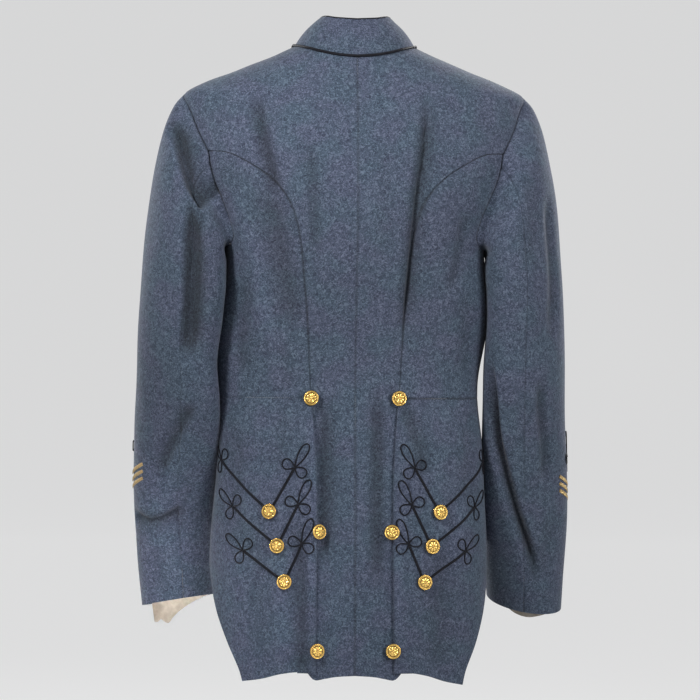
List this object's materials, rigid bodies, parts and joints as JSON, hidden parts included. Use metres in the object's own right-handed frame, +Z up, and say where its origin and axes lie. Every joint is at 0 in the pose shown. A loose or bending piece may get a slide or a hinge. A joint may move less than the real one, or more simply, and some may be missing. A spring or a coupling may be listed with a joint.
{
  "type": "hussar tail coat",
  "caption": "Worn, hollow wool dress tail coat with a standing collar, long sleeves, side-back pleats, looped black braid on the tails and domed gilt buttons.",
  "frame": {"origin": "middle of the neck opening, at the height of the collar seam", "axes": "+Z up the worn coat, -Y to its front, +X to the wearer's left"},
  "size_m": [0.5743, 0.2568, 0.8563],
  "materials": {
    "cadet_wool": "milled blue-grey wool with pale flecks",
    "black_soutache": "round and flat black cord with a dull sheen",
    "cream_lining": "smooth cotton sateen",
    "gilt_brass": "stamped and gilt",
    "gold_lace": "woven metal thread"
  },
  "bodies": {
    "root": {"back_left": "cadet_wool", "back_right": "cadet_wool", "braid_button_lower_left": "gilt_brass", "braid_button_lower_right": "gilt_brass", "braid_button_middle_left": "gilt_brass", "braid_button_middle_right": "gilt_brass", "braid_button_upper_left": "gilt_brass", "braid_button_upper_right": "gilt_brass", "collar": "cadet_wool", "collar_piping_base": "black_soutache", "collar_piping_top": "black_soutache", "cuff_lining_left": "cream_lining", "cuff_lining_right": "cream_lining", "front_button_1": "gilt_brass", "front_button_2": "gilt_brass", "front_button_3": "gilt_brass", "front_button_4": "gilt_brass", "front_button_5": "gilt_brass", "front_button_6": "gilt_brass", "front_button_7": "gilt_brass", "front_button_8": "gilt_brass", "front_button_9": "gilt_brass", "front_left": "cadet_wool", "front_right": "cadet_wool", "pleat_button_bottom_left": "gilt_brass", "pleat_button_bottom_right": "gilt_brass", "pleat_button_hip_left": "gilt_brass", "pleat_button_hip_right": "gilt_brass", "pleat_button_middle_left": "gilt_brass", "pleat_button_middle_right": "gilt_brass", "side_back_left": "cadet_wool", "side_back_right": "cadet_wool", "skirt_braid_lower_left": "black_soutache", "skirt_braid_lower_right": "black_soutache", "skirt_braid_middle_left": "black_soutache", "skirt_braid_middle_right": "black_soutache", "skirt_braid_upper_left": "black_soutache", "skirt_braid_upper_right": "black_soutache", "skirt_left": "cadet_wool", "skirt_right": "cadet_wool", "sleeve_bar_1_left": "gold_lace", "sleeve_bar_1_right": "gold_lace", "sleeve_bar_2_left": "gold_lace", "sleeve_bar_2_right": "gold_lace", "sleeve_bar_3_left": "gold_lace", "sleeve_bar_3_right": "gold_lace", "sleeve_braid_left": "black_soutache", "sleeve_braid_right": "black_soutache", "top_sleeve_left": "cadet_wool", "top_sleeve_right": "cadet_wool", "under_sleeve_left": "cadet_wool", "under_sleeve_right": "cadet_wool"}
  },
  "joints": []
}
